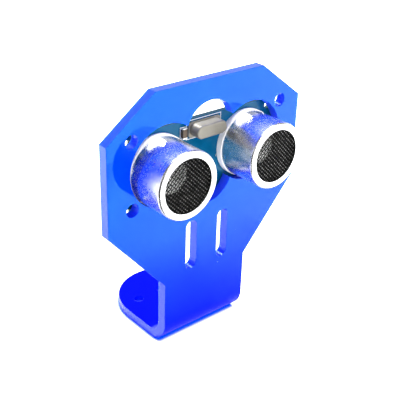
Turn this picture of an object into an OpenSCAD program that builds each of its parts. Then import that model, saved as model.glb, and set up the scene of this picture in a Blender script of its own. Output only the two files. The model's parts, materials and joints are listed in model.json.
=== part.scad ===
// Ultrasonic distance sensor: a two-can ranging module in a heat-bent acrylic bracket.
// Z is up and the sensors look towards -Y.
// The origin is the middle hole of the foot, on the underside.

/* [Bracket] */
// Thickness of the acrylic sheet
sheet_t = 2.5; // [2:0.1:3]
// Width between the side edges of the plate
plate_w = 56; // [52:0.5:60]
// Width of the top edge
top_w = 31; // [24:0.5:36]
// Height of the top edge
plate_h = 66.1; // [65:0.1:70]
// Height where the upper chamfers meet the side edges
shoulder_h = 56.8; // [56:0.1:60]
// Height where the lower chamfers leave the side edges
hip_h = 35.4; // [32:0.1:38]
// Height where the lower chamfers meet the neck
neck_h = 17.6; // [14:0.1:20]
// Width of the neck and of the foot
neck_w = 25; // [22:0.5:28]
// Outer radius of the heat bend
bend_r = 6; // [4:0.5:7]
// Distance from the front of the plate to the row of foot holes
foot_row = 17.4; // [15:0.1:19]
// Distance from the front of the plate to the centre of the foot's round end
foot_end = 15.4; // [12:0.1:17]
// Diameter of the foot holes
foot_hole_d = 2.5; // [2:0.1:3.2]
// Distance between neighbouring foot holes
foot_hole_gap = 7.5; // [6:0.1:8.5]

/* [Cut-outs] */
// Height of the middle of the window
window_h = 48.5; // [48:0.1:49.5]
// Diameter of the round side lobes
side_lobe_d = 19.6; // [19.4:0.1:20.4]
// Distance from the middle to the centre of a side lobe
side_lobe_x = 12.3; // [12:0.1:12.8]
// Width of the upright middle lobe
mid_lobe_w = 14; // [12:0.5:15]
// Height of the upright middle lobe
mid_lobe_h = 25.2; // [22:0.2:27]
// Diameter of the corner holes
corner_hole_d = 3.3; // [2:0.1:3.5]
// Distance from the middle to a corner hole, sideways
corner_hole_x = 21.6; // [21.4:0.1:23]
// Distance from the middle of the window to a corner hole, upwards
corner_hole_z = 8; // [7:0.5:9]
// Width of the upright slots
slot_w = 3.3; // [2:0.1:4]
// Length of the upright slots
slot_l = 13.1; // [8:0.1:14]
// Distance from the middle to a slot
slot_x = 4.8; // [4:0.1:6]
// Height of the middle of the slots
slot_h = 26; // [25:0.1:27]

/* [Circuit board] */
// Length of the board
board_l = 45; // [44:0.5:48]
// Height of the board
board_w = 20; // [19.5:0.1:20.5]
// Thickness of the board
board_t = 1.2; // [1:0.1:1.6]
// Height of the middle of the board
board_h = 46.4; // [46:0.1:46.8]
// Clearance between the sheet and the board
board_gap = 0.6; // [0.4:0.1:1]

/* [Sensor cans] */
// Distance between the can axes
can_pitch = 26; // [25.6:0.1:26.2]
// Height of the can axes
axis_h = 47.1; // [47.1:0.1:47.8]
// Outer diameter of the cans
can_d = 16; // [15.5:0.1:16.2]
// Height of the cans over the board
can_l = 11.5; // [10.5:0.1:12.5]
// Wall thickness of the cans
can_wall = 0.35; // [0.3:0.05:0.5]
// Diameter of the can's mouth
mouth_d = 12.8; // [11:0.1:13.4]
// Thickness of the lip round the mouth
lip_t = 0.4; // [0.3:0.05:0.6]
// Distance between neighbouring wires of the mesh
mesh_pitch = 0.7; // [0.6:0.05:1.4]
// Width of the mesh's wires
mesh_wire = 0.3; // [0.2:0.05:0.5]
// Diameter of the base's flange
flange_d = 16.4; // [16.1:0.1:16.4]
// Thickness of the base's flange
flange_t = 1.5; // [1:0.1:1.7]
// Distance between the two pins of a sensor
sensor_pin_gap = 10; // [9:0.1:10.4]

/* [Crystal] */
// Length of the crystal's can
crystal_l = 8.8; // [8:0.1:9.2]
// Width of the crystal's can
crystal_w = 3.1; // [2.6:0.1:3.4]
// Height of the crystal over the board
crystal_t = 3.2; // [2:0.1:4]
// Width of the rim round the crystal's base
crystal_rim = 0.3; // [0.1:0.05:0.4]

/* [Pin header] */
// Number of header pins
header_n = 4; // [2:1:5]
// Pitch of the header
header_pitch = 2.54; // [2:0.01:2.54]
// Side of a square pin
header_pin_w = 0.64; // [0.4:0.02:0.7]
// Free length of the pins below the strip
header_pin_l = 6; // [4:0.1:6.5]

/* [Hidden] */

$fn = 72;
eps = 1;                                      // overshoot of every cut
play = 0.03;                                  // clearance of a pin in its hole

plate_y = -foot_row;                          // front face of the plate
board_y = plate_y + sheet_t + board_gap;      // front face of the board
board_back_y = board_y + board_t;
left = -1;                                    // the transmitter's side
right = 1;                                    // the receiver's side

board_corner_r = 0.6;
board_hole_d = 2;
board_hole_inset = 1.8;
board_hole_x = board_l / 2 - board_hole_inset;
board_hole_z = board_w / 2 - board_hole_inset;

can_edge_r = 0.45;                            // rounding of the can's front edge
groove_w = 0.12;                              // fine turned line inside that edge
groove_r = can_d / 2 - 0.75;
mesh_t = 0.5;
mesh_d = can_d - 2 * can_wall - 0.2;
plug_t = 1.2;                                 // part of the base inside the can
plug_d = can_d - 2 * can_wall - 0.1;
sensor_pin_d = 0.7;
sensor_pin_tail = 1.5;                        // length behind the board
sensor_pin_top = 0.5;                         // length above the base

ring_z = flange_t + plug_t;                   // inside of the base
ring_t = 1;
ring_d = 8.4;
ring_bore_d = 6.6;
piezo_t = 0.35;
piezo_d = 6.2;
diaphragm_z = ring_z + ring_t;
diaphragm_t = 0.25;
diaphragm_d = 8.8;
horn_z = diaphragm_z + diaphragm_t;
horn_t = 2;
horn_d = 7.8;
horn_stem_d = 1.8;
horn_wall = 0.3;
wire_d = 0.25;
wire_bend_r = 0.5;
wire_rise = 0.35;                             // straight length above the diaphragm

crystal_x = 0.6;
crystal_h = 53.85;
crystal_flange_t = 0.4;
crystal_corner_r = 0.8;
crystal_lead_d = 0.43;
crystal_lead_gap = 4.9;
crystal_lead_tail = 1.2;

strip_w = 2.5;                                // insulator's height and depth
strip_notch = 0.7;
strip_rise = 2.1;                             // insulator's top over the board's lower edge
strip_top = board_h - board_w / 2 + strip_rise;
strip_bottom = strip_top - strip_w;
header_rise = 1.3;                            // pins' passage over the insulator's top
header_hole_h = strip_top + header_rise;
header_hole_d = 1;
header_y = board_back_y + strip_w / 2;
header_tail = 0.9;                            // pin length in front of the board
tip_l = 0.7;
tip_w = 0.3;

chip_w = 3.9;
chip_t = 1.45;
chip_standoff = 0.1;
chip_bevel = 0.12;
chip_pitch = 1.27;
chip_14_l = 8.65;
chip_16_l = 9.9;
chip_lead_w = 0.4;
chip_lead_t = 0.2;
chip_lead_reach = 1.05;
lead_shoulder = 0.3;                          // where a lead turns down, as a part of its reach
lead_heel = 0.45;                             // where it lies flat again
lead_slant = 0.17;                            // the upper face's turns, beyond those
dimple_r = 0.35;
dimple_t = 0.1;
dimple_inset = 1;
driver_x = -13;
amplifier_x = 13;
controller_h = 1.1;                           // above the middle of the board

part_l = 1.6;                                 // chip resistors and capacitors
part_w = 0.8;
part_cap_l = 0.3;
resistor_t = 0.45;
capacitor_t = 0.8;
// [sideways, upwards, turn] from the middle of the board, on the back
RESISTORS = [
    [-20.4, -3.4, 90], [-20.4, 3.6, 90], [-8, -4.4, 0], [-8, -6.2, 0], [-8, 6, 0],
    [-5, 1.2, 90], [5, 1.2, 90], [8, -4.4, 0], [8, -6.2, 0], [8, 6, 0],
    [20.4, -3.4, 90], [20.4, 3.6, 90]
];
CAPACITORS = [
    [-13, -7.4, 0], [13, -7.4, 0], [-13, 7.6, 0], [13, 7.6, 0], [-5.6, 8, 0], [6, 8, 0]
];
// the one capacitor on the front, as [sideways, upwards]
FRONT_CAPACITOR = [-5.4, 7.2];
front_capacitor_l = 2.6;
front_capacitor_w = 1.2;

transistor_x = 16.6;
transistor_z = -6.6;
transistor_l = 2.9;
transistor_w = 1.3;
transistor_t = 1;
transistor_pitch = 0.95;
transistor_reach = 0.55;

solder_r = 0.95;
solder_top_r = 0.5;
solder_t = 0.7;
crystal_solder_r = 0.7;

// ---- places -------------------------------------------------------------------

// local Z points forwards from the board, local Y points up
module at_front(x, h) {
    translate([x, board_y, h]) rotate([90, 0, 0]) children();
}

// local Z points backwards from the board, local Y points down
module at_back(x, h) {
    translate([x, board_back_y, h]) rotate([-90, 0, 0]) children();
}

module on_can(side) {
    at_front(side * can_pitch / 2, axis_h) children();
}

module at_sensor_pins(side) {
    for (end = [-1, 1]) on_can(side) translate([end * sensor_pin_gap / 2, 0, 0]) children();
}

module at_crystal_leads() {
    for (end = [-1, 1]) at_front(crystal_x + end * crystal_lead_gap / 2, crystal_h) children();
}

module at_header_pins() {
    for (i = [0 : header_n - 1]) translate([(i - (header_n - 1) / 2) * header_pitch, 0, 0]) children();
}

// ---- outlines -----------------------------------------------------------------

module round_rect(l, w, r) {
    square([l - 2 * r, w], center = true);
    square([l, w - 2 * r], center = true);
    for (x = [-1, 1], y = [-1, 1]) translate([x * (l / 2 - r), y * (w / 2 - r)]) circle(r);
}

// a slot standing on its short end
module upright_slot(w, l) {
    square([w, l - w], center = true);
    for (end = [-1, 1]) translate([0, end * (l - w) / 2]) circle(d = w);
}

// the flat plate seen from the front, down to where the bend begins
module plate_outline() {
    difference() {
        polygon([
            [-top_w / 2, plate_h], [top_w / 2, plate_h],
            [plate_w / 2, shoulder_h], [plate_w / 2, hip_h],
            [neck_w / 2, neck_h], [neck_w / 2, bend_r],
            [-neck_w / 2, bend_r], [-neck_w / 2, neck_h],
            [-plate_w / 2, hip_h], [-plate_w / 2, shoulder_h]
        ]);
        translate([0, window_h]) upright_slot(mid_lobe_w, mid_lobe_h);
        for (side = [left, right]) {
            translate([side * side_lobe_x, window_h]) circle(d = side_lobe_d);
            translate([side * slot_x, slot_h]) upright_slot(slot_w, slot_l);
            for (end = [-1, 1])
                translate([side * corner_hole_x, window_h + end * corner_hole_z]) circle(d = corner_hole_d);
        }
    }
}

// the foot seen from above, from where the bend ends
module foot_outline() {
    difference() {
        union() {
            translate([-neck_w / 2, bend_r]) square([neck_w, foot_end - bend_r]);
            translate([0, foot_end]) circle(d = neck_w);
        }
        translate([-neck_w, -neck_w]) square([2 * neck_w, neck_w + bend_r]);
        for (i = [-1 : 1]) translate([i * foot_hole_gap, foot_row]) circle(d = foot_hole_d);
    }
}

// a quarter ring round the bend's axis, seen along X
module bend_outline() {
    intersection() {
        difference() {
            circle(bend_r);
            circle(bend_r - sheet_t);
        }
        translate([-bend_r, -bend_r]) square(bend_r);
    }
}

// half of the can's section: a cup with a lip, a rounded front edge and a fine groove
module can_section() {
    difference() {
        union() {
            translate([0, flange_t]) square([can_d / 2, can_l - flange_t - can_edge_r]);
            translate([0, flange_t]) square([can_d / 2 - can_edge_r, can_l - flange_t]);
            translate([can_d / 2 - can_edge_r, can_l - can_edge_r]) circle(can_edge_r);
        }
        square([can_d / 2 - can_wall, can_l - lip_t]);
        square([mouth_d / 2, can_l + eps]);
        translate([groove_r, can_l - groove_w / 2]) square([groove_w, eps]);
    }
}

// the square holes of the mesh's diagonal weave, inside the can's mouth
module mesh_holes() {
    gap = mesh_pitch - mesh_wire;
    n = ceil(mouth_d / 2 / mesh_pitch);
    for (i = [-n : n], j = [-n : n])
        if (norm([i, j]) * mesh_pitch < mouth_d / 2 - gap / 2)
            rotate(45) translate([i * mesh_pitch, j * mesh_pitch]) square(gap, center = true);
}

module chip_section() {
    middle = chip_standoff + chip_t / 2;
    top = chip_standoff + chip_t;
    polygon([
        [-chip_w / 2 + chip_bevel, chip_standoff], [chip_w / 2 - chip_bevel, chip_standoff],
        [chip_w / 2, middle], [chip_w / 2 - chip_bevel, top],
        [-chip_w / 2 + chip_bevel, top], [-chip_w / 2, middle]
    ]);
}

// one gull-wing lead seen from its side, leaving a body at x = 0 and height h
module gull_wing(h, reach) {
    t = chip_lead_t;
    shoulder = reach * lead_shoulder;
    heel = reach * lead_heel;
    slant = reach * lead_slant;
    polygon([
        [0, h - t / 2], [shoulder, h - t / 2], [heel, 0], [reach, 0],
        [reach, t], [heel + slant, t], [shoulder + slant, h + t / 2], [0, h + t / 2]
    ]);
}

// ---- bracket and board --------------------------------------------------------

module bracket() {
    color("royalblue") translate([0, plate_y, 0]) union() {
        translate([0, sheet_t, 0]) rotate([90, 0, 0]) linear_extrude(sheet_t) plate_outline();
        linear_extrude(sheet_t) foot_outline();
        translate([-neck_w / 2, bend_r, bend_r]) rotate([90, 0, 90]) linear_extrude(neck_w) bend_outline();
    }
}

module circuit_board() {
    color("teal") difference() {
        at_front(0, board_h) translate([0, 0, -board_t]) linear_extrude(board_t) difference() {
            round_rect(board_l, board_w, board_corner_r);
            for (x = [-1, 1], z = [-1, 1])
                translate([x * board_hole_x, z * board_hole_z]) circle(d = board_hole_d);
        }
        for (side = [left, right])
            at_sensor_pins(side) translate([0, 0, -board_t - eps])
                cylinder(d = sensor_pin_d + 2 * play, h = board_t + 2 * eps);
        at_crystal_leads() translate([0, 0, -board_t - eps])
            cylinder(d = crystal_lead_d + 2 * play, h = board_t + 2 * eps);
        at_header_pins() at_front(0, header_hole_h) translate([0, 0, -board_t - eps])
            cylinder(d = header_hole_d, h = board_t + 2 * eps);
    }
}

// ---- one sensor, on either side -----------------------------------------------

module can(side) {
    color("silver") on_can(side) rotate_extrude() can_section();
}

module mesh(side) {
    color("dimgray") on_can(side) translate([0, 0, can_l - lip_t - mesh_t]) linear_extrude(mesh_t)
        difference() {
            circle(d = mesh_d);
            mesh_holes();
        }
}

module base(side) {
    color("gainsboro") difference() {
        on_can(side) {
            cylinder(d = flange_d, h = flange_t);
            cylinder(d = plug_d, h = flange_t + plug_t);
        }
        at_sensor_pins(side) translate([0, 0, -eps])
            cylinder(d = sensor_pin_d + 2 * play, h = flange_t + plug_t + 2 * eps);
    }
}

module support_ring(side) {
    color("whitesmoke") on_can(side) translate([0, 0, ring_z]) difference() {
        cylinder(d = ring_d, h = ring_t);
        translate([0, 0, -eps]) cylinder(d = ring_bore_d, h = ring_t + 2 * eps);
    }
}

module diaphragm(side) {
    color("goldenrod") on_can(side) translate([0, 0, diaphragm_z]) cylinder(d = diaphragm_d, h = diaphragm_t);
}

module piezo_disc(side) {
    color("ivory") on_can(side) translate([0, 0, diaphragm_z - piezo_t]) cylinder(d = piezo_d, h = piezo_t);
}

module horn(side) {
    color("lightgray") on_can(side) translate([0, 0, horn_z]) rotate_extrude() polygon([
        [0, 0], [horn_stem_d / 2, 0], [horn_d / 2, horn_t],
        [horn_d / 2 - horn_wall, horn_t], [horn_stem_d / 2, 2 * horn_wall], [0, 2 * horn_wall]
    ]);
}

// each wire rises from a pin, bends inwards and comes down on the diaphragm
module lead_wires(side) {
    pin_top = flange_t + plug_t + sensor_pin_top;
    bend_z = horn_z + wire_rise;
    color("sandybrown") for (end = [-1, 1]) on_can(side)
        translate([end * (sensor_pin_gap / 2 - wire_bend_r), 0, 0]) {
            translate([end * wire_bend_r, 0, pin_top]) cylinder(d = wire_d, h = bend_z - pin_top);
            translate([-end * wire_bend_r, 0, horn_z]) cylinder(d = wire_d, h = wire_rise);
            translate([0, 0, bend_z]) rotate([90, 0, 0])
                rotate_extrude(angle = 180) translate([wire_bend_r, 0]) circle(d = wire_d);
        }
}

module sensor_pins(side) {
    tail = board_t + sensor_pin_tail;
    color("silver") at_sensor_pins(side) translate([0, 0, -tail])
        cylinder(d = sensor_pin_d, h = tail + flange_t + plug_t + sensor_pin_top);
}

// ---- crystal ------------------------------------------------------------------

module crystal_can() {
    color("silver") at_front(crystal_x, crystal_h) translate([0, 0, crystal_flange_t])
        linear_extrude(crystal_t - crystal_flange_t) rotate(90) upright_slot(crystal_w, crystal_l);
}

module crystal_base() {
    color("silver") difference() {
        at_front(crystal_x, crystal_h) linear_extrude(crystal_flange_t)
            round_rect(crystal_l + 2 * crystal_rim, crystal_w + 2 * crystal_rim, crystal_corner_r);
        at_crystal_leads() translate([0, 0, -eps])
            cylinder(d = crystal_lead_d + 2 * play, h = crystal_flange_t + 2 * eps);
    }
}

module crystal_leads() {
    tail = board_t + crystal_lead_tail;
    color("silver") at_crystal_leads() translate([0, 0, -tail])
        cylinder(d = crystal_lead_d, h = tail + crystal_flange_t);
}

// ---- pin header ---------------------------------------------------------------

module header_strip() {
    strip_l = header_n * header_pitch;
    color("black") difference() {
        translate([-strip_l / 2, board_back_y, strip_bottom]) cube([strip_l, strip_w, strip_w]);
        at_header_pins() translate([0, header_y, strip_bottom - eps])
            translate([-header_pin_w / 2, -header_pin_w / 2, 0])
                cube([header_pin_w, header_pin_w, strip_w + 2 * eps]);
        // the notches between neighbouring pins
        for (i = [1 : header_n - 1], face = [-1, 1])
            translate([i * header_pitch - strip_l / 2, header_y + face * strip_w / 2, strip_bottom - eps])
                rotate(45) translate([-strip_notch / 2, -strip_notch / 2, 0])
                    cube([strip_notch, strip_notch, strip_w + 2 * eps]);
    }
}

// a tapered square leg: the outline of one face, cut across by the same outline
module leg_outline(l) {
    w = header_pin_w / 2;
    polygon([[-w, l], [w, l], [w, tip_l], [tip_w / 2, 0], [-tip_w / 2, 0], [-w, tip_l]]);
}

module header_pins() {
    leg_l = header_hole_h + header_pin_w / 2 - (strip_bottom - header_pin_l);
    arm_l = header_y - board_y + header_tail;
    color("gold") at_header_pins() {
        translate([0, header_y, strip_bottom - header_pin_l]) intersection() {
            rotate([90, 0, 0]) linear_extrude(header_pin_w, center = true) leg_outline(leg_l);
            rotate([90, 0, 90]) linear_extrude(header_pin_w, center = true) leg_outline(leg_l);
        }
        translate([-header_pin_w / 2, board_y - header_tail, header_hole_h - header_pin_w / 2])
            cube([header_pin_w, arm_l, header_pin_w]);
    }
}

// ---- chips and small parts on the back ----------------------------------------

module chip_body(x, z, l) {
    color("black") at_back(x, board_h + z) difference() {
        rotate([90, 0, 0]) linear_extrude(l, center = true) chip_section();
        translate([-chip_w / 2 + dimple_inset, -l / 2 + dimple_inset, chip_standoff + chip_t - dimple_t])
            cylinder(r = dimple_r, h = dimple_t + eps);
    }
}

module chip_leads(x, z, n) {
    rows = n / 2;
    color("silver") at_back(x, board_h + z)
        for (i = [0 : rows - 1], side = [0, 1])
            mirror([side, 0, 0]) translate([chip_w / 2, (i - (rows - 1) / 2) * chip_pitch, 0])
                rotate([90, 0, 0]) linear_extrude(chip_lead_w, center = true)
                    gull_wing(chip_standoff + chip_t / 2, chip_lead_reach);
}

// the ceramic middle of a chip resistor or capacitor
module part_body(l, w, t) {
    translate([0, 0, t / 2]) cube([l - 2 * part_cap_l, w, t], center = true);
}

// its two metal end caps
module part_caps(l, w, t) {
    for (end = [-1, 1]) translate([end * (l - part_cap_l) / 2, 0, t / 2])
        cube([part_cap_l, w, t], center = true);
}

module at_parts(places) {
    for (p = places) at_back(p[0], board_h + p[1]) rotate(p[2]) children();
}

module at_front_capacitor() {
    at_front(FRONT_CAPACITOR[0], board_h + FRONT_CAPACITOR[1]) rotate(90) children();
}

module resistors() {
    color("black") at_parts(RESISTORS) part_body(part_l, part_w, resistor_t);
}

module resistor_caps() {
    color("silver") at_parts(RESISTORS) part_caps(part_l, part_w, resistor_t);
}

module capacitors() {
    color("tan") {
        at_parts(CAPACITORS) part_body(part_l, part_w, capacitor_t);
        at_front_capacitor() part_body(front_capacitor_l, front_capacitor_w, capacitor_t);
    }
}

module capacitor_caps() {
    color("silver") {
        at_parts(CAPACITORS) part_caps(part_l, part_w, capacitor_t);
        at_front_capacitor() part_caps(front_capacitor_l, front_capacitor_w, capacitor_t);
    }
}

module transistor() {
    color("black") at_back(transistor_x, board_h + transistor_z)
        translate([0, 0, chip_standoff + transistor_t / 2])
            cube([transistor_l, transistor_w, transistor_t], center = true);
}

module transistor_leads() {
    color("silver") at_back(transistor_x, board_h + transistor_z)
        for (lead = [[-transistor_pitch, 1], [transistor_pitch, 1], [0, -1]])
            translate([lead[0], lead[1] * transistor_w / 2, 0]) rotate([90, 0, lead[1] * 90])
                linear_extrude(chip_lead_w, center = true)
                    gull_wing(chip_standoff + transistor_t / 2, transistor_reach);
}

// ---- solder -------------------------------------------------------------------

module solder_cone(r) {
    cylinder(r1 = r, r2 = solder_top_r, h = solder_t);
}

module solder_joints() {
    color("silver") difference() {
        union() {
            for (side = [left, right])
                at_sensor_pins(side) translate([0, 0, -board_t]) mirror([0, 0, 1]) solder_cone(solder_r);
            at_crystal_leads() translate([0, 0, -board_t]) mirror([0, 0, 1]) solder_cone(crystal_solder_r);
            at_header_pins() at_front(0, header_hole_h) solder_cone(solder_r);
        }
        for (side = [left, right])
            at_sensor_pins(side) translate([0, 0, -board_t - solder_t - eps])
                cylinder(d = sensor_pin_d, h = solder_t + 2 * eps);
        at_crystal_leads() translate([0, 0, -board_t - solder_t - eps])
            cylinder(d = crystal_lead_d, h = solder_t + 2 * eps);
        at_header_pins() at_front(0, header_hole_h) translate([-header_pin_w / 2, -header_pin_w / 2, -eps])
            cube([header_pin_w, header_pin_w, solder_t + 2 * eps]);
    }
}

bracket();
circuit_board();
can(left);  // transmitter_can
mesh(left);  // transmitter_mesh
base(left);  // transmitter_base
support_ring(left);  // transmitter_support_ring
diaphragm(left);  // transmitter_diaphragm
piezo_disc(left);  // transmitter_piezo_disc
horn(left);  // transmitter_horn
lead_wires(left);  // transmitter_lead_wires
sensor_pins(left);  // transmitter_pins
can(right);  // receiver_can
mesh(right);  // receiver_mesh
base(right);  // receiver_base
support_ring(right);  // receiver_support_ring
diaphragm(right);  // receiver_diaphragm
piezo_disc(right);  // receiver_piezo_disc
horn(right);  // receiver_horn
lead_wires(right);  // receiver_lead_wires
sensor_pins(right);  // receiver_pins
crystal_can();
crystal_base();
crystal_leads();
header_strip();
header_pins();
chip_body(0, controller_h, chip_14_l);  // microcontroller
chip_leads(0, controller_h, 14);  // microcontroller_leads
chip_body(amplifier_x, 0, chip_14_l);  // amplifier
chip_leads(amplifier_x, 0, 14);  // amplifier_leads
chip_body(driver_x, 0, chip_16_l);  // line_driver
chip_leads(driver_x, 0, 16);  // line_driver_leads
resistors();
resistor_caps();
capacitors();
capacitor_caps();
transistor();
transistor_leads();
solder_joints();
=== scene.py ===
"""Ultrasonic distance sensor: looks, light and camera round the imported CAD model, in metres."""
import json
import math
import random

import bmesh
import bpy
from mathutils import Matrix, Vector


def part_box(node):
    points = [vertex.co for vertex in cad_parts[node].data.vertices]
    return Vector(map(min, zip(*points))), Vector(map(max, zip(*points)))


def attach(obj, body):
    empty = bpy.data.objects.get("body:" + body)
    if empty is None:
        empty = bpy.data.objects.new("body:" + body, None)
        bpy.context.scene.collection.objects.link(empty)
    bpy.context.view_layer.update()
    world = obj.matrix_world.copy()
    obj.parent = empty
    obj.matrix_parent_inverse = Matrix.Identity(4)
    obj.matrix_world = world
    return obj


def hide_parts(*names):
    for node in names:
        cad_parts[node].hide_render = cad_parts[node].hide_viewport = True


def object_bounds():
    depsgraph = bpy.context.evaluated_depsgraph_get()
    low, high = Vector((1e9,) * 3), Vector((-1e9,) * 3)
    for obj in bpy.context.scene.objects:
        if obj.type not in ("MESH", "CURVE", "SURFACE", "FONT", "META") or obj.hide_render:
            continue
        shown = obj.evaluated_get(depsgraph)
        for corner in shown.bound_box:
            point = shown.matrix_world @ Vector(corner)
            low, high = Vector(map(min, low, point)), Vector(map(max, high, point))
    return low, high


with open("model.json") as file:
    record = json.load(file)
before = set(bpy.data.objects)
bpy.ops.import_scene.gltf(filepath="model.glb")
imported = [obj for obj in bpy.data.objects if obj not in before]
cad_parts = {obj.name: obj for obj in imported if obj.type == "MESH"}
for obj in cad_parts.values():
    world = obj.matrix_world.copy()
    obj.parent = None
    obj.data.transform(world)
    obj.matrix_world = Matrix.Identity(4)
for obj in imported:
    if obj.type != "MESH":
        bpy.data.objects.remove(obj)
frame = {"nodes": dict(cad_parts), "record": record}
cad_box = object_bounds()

MM = 0.001
NODES = frame["nodes"]
SIDES = ("transmitter", "receiver")
scene = bpy.context.scene
rng = random.Random(7)


# ---- places, all from the CAD -----------------------------------------------

def centre(node):
    """The middle of a CAD node's box."""
    lo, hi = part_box(node)
    return (lo + hi) / 2


plate_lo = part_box("bracket")[0]
board_lo, board_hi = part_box("circuit_board")
board_mid = (board_lo + board_hi) / 2
FRONT, BACK = board_lo.y, board_hi.y
BEND_R = 6 * MM  # outside of the bracket's bend, as in the CAD
can_lo, can_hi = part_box("receiver_can")
can_mid = (can_lo + can_hi) / 2
can_r = (can_hi.x - can_lo.x) / 2
base_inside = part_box("receiver_base")[0].y
object_mid = (cad_box[0] + cad_box[1]) / 2
CANS = [side + "_can" for side in SIDES]


# ---- shader helpers ---------------------------------------------------------

class Shader:
    """A node material built up by short calls."""

    def __init__(self, name, **principled):
        self.mat = bpy.data.materials.new(name)
        self.mat.use_nodes = True
        self.tree = self.mat.node_tree
        self.bsdf = self.tree.nodes["Principled BSDF"]
        for key, value in principled.items():
            self.bsdf.inputs[key.replace("_", " ")].default_value = value
        geometry = self.tree.nodes.new("ShaderNodeNewGeometry")
        self.position = geometry.outputs["Position"]
        self.normal = geometry.outputs["Normal"]

    def add(self, kind, inputs=None, **settings):
        """A new shader node, with its settings made and its inputs put."""
        node = self.tree.nodes.new("ShaderNode" + kind)
        for key, value in settings.items():
            setattr(node, key, value)
        for key, value in (inputs or {}).items():
            self.put(node.inputs[key], value)
        return node

    def put(self, socket, value):
        """Link a socket, or set its value."""
        if isinstance(value, bpy.types.NodeSocket):
            self.tree.links.new(value, socket)
        else:
            socket.default_value = value

    def math(self, operation, a, b=0.0):
        return self.add("Math", {0: a, 1: b}, operation=operation).outputs[0]

    def vector(self, operation, a, b=(0, 0, 0)):
        node = self.add("VectorMath", {0: a}, operation=operation)
        if operation not in ("NORMALIZE", "LENGTH"):
            self.put(node.inputs[1], b)
        return node.outputs["Value" if operation in ("DOT_PRODUCT", "LENGTH") else "Vector"]

    def place(self, scale, offset=(0, 0, 0)):
        """Position times a scale for each axis, so that grain can be stretched."""
        return self.vector("MULTIPLY", self.vector("ADD", self.position, offset), scale)

    def noise(self, where, scale=1.0, detail=3.0, rough=0.55, distortion=0.0):
        node = self.add("TexNoise", {"Vector": where, "Scale": scale, "Detail": detail,
                                     "Roughness": rough, "Distortion": distortion})
        return node.outputs["Fac"]

    def remap(self, value, start, end, low=0.0, high=1.0):
        """A value from start to end made low to high, and held there outside."""
        node = self.add("MapRange", {"Value": value, "From Min": start, "From Max": end,
                                     "To Min": low, "To Max": high})
        return node.outputs["Result"]

    def mix(self, factor, a, b):
        node = self.add("Mix", data_type="RGBA")
        self.put(node.inputs[0], factor)
        self.put(node.inputs[6], a)
        self.put(node.inputs[7], b)
        return node.outputs[2]

    def bump(self, height, strength, distance, normal=None):
        node = self.add("Bump", {"Height": height, "Strength": strength, "Distance": distance})
        if normal is not None:
            self.put(node.inputs["Normal"], normal)
        return node.outputs["Normal"]

    def soft_edges(self, radius, samples=6):
        return self.add("Bevel", {"Radius": radius}, samples=samples).outputs["Normal"]

    def set(self, **links):
        for key, value in links.items():
            self.put(self.bsdf.inputs[key.replace("_", " ")], value)
        return self.mat


def rgb(r, g, b):
    return (r, g, b, 1.0)


# ---- materials --------------------------------------------------------------

def acrylic():
    s = Shader("acrylic", IOR=1.5, Specular_IOR_Level=0.5, Subsurface_Weight=0.4,
               Subsurface_Radius=(0.2, 0.6, 1.0), Subsurface_Scale=5 * MM)
    # the sheet's own normal: out of the plate, round the bend and down through the foot
    bend_axis = (0.0, plate_lo.y + BEND_R, BEND_R)
    out = s.vector("MINIMUM", s.vector("SUBTRACT", s.position, bend_axis))
    out = s.vector("NORMALIZE", s.vector("MULTIPLY", out, (0, 1, 1)))
    facing = s.math("ABSOLUTE", s.vector("DOT_PRODUCT", s.normal, out))
    edge = s.remap(facing, 0.75, 0.55)
    # lines across the cut edges
    along = s.vector("DOT_PRODUCT", s.position, out)
    across = s.add("VectorMath", {0: out, "Scale": along}, operation="SCALE").outputs["Vector"]
    lines = s.noise(s.vector("SUBTRACT", s.position, across), 4200, 2.0, 0.6)
    cloud = s.noise(s.place((60, 60, 60)), 1.0, 2.0)
    # painted shade: the face is painted darker low down
    height = s.vector("DOT_PRODUCT", s.position, (0, 0, 1))
    painted_shade_low = s.mix(s.remap(cloud, 0.3, 0.7), rgb(0.0, 0.0, 0.80), rgb(0.0, 0.002, 0.86))
    clear = s.mix(s.remap(cloud, 0.3, 0.7), rgb(0.0, 0.034, 0.88), rgb(0.0, 0.044, 0.96))
    face = s.mix(s.remap(height, 4 * MM, 44 * MM), painted_shade_low, clear)
    cut = s.mix(s.remap(lines, 0.3, 0.7), rgb(0.0, 0.008, 0.78), rgb(0.004, 0.018, 0.92))
    # painted light: the cut edges are painted paler higher up, where more light catches them
    cut = s.mix(s.remap(height, 10 * MM, 60 * MM, 0.0, 0.8), cut, rgb(0.03, 0.10, 0.94))
    # specks of dust, in a few of the cells
    cells = s.add("TexVoronoi", {"Vector": s.position, "Scale": 210.0, "Randomness": 1.0})
    chance = s.add("SeparateColor", {"Color": cells.outputs["Color"]}).outputs["Red"]
    speck_size, cells_without = 0.032, 0.72
    dust = s.math("MULTIPLY", s.math("LESS_THAN", cells.outputs["Distance"], speck_size),
                  s.math("GREATER_THAN", chance, cells_without))
    colour = s.mix(edge, face, cut)
    colour = s.mix(s.math("MULTIPLY", dust, 0.75), colour, rgb(0.62, 0.74, 1.0))
    fine = s.noise(s.place((2600, 2600, 260)), 1.0, 3.0)
    rough = s.remap(fine, 0.35, 0.75, 0.015, 0.045)
    rough = s.math("ADD", rough, s.math("MULTIPLY", edge, 0.22))
    rough = s.math("ADD", rough, s.math("MULTIPLY", dust, 0.5))
    wave = s.noise(s.place((90, 90, 90)), 1.0, 1.0)
    relief = s.math("ADD", s.math("MULTIPLY", wave, 0.2),
                    s.math("MULTIPLY", s.math("MULTIPLY", lines, edge), 0.010))
    normal = s.bump(relief, 0.35, 0.06 * MM, s.soft_edges(0.16 * MM))
    tint = s.mix(edge, rgb(0.08, 1.0, 1.0), rgb(0.50, 0.95, 1.0))
    return s.set(Base_Color=colour, Roughness=rough, Normal=normal, Specular_Tint=tint)


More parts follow.
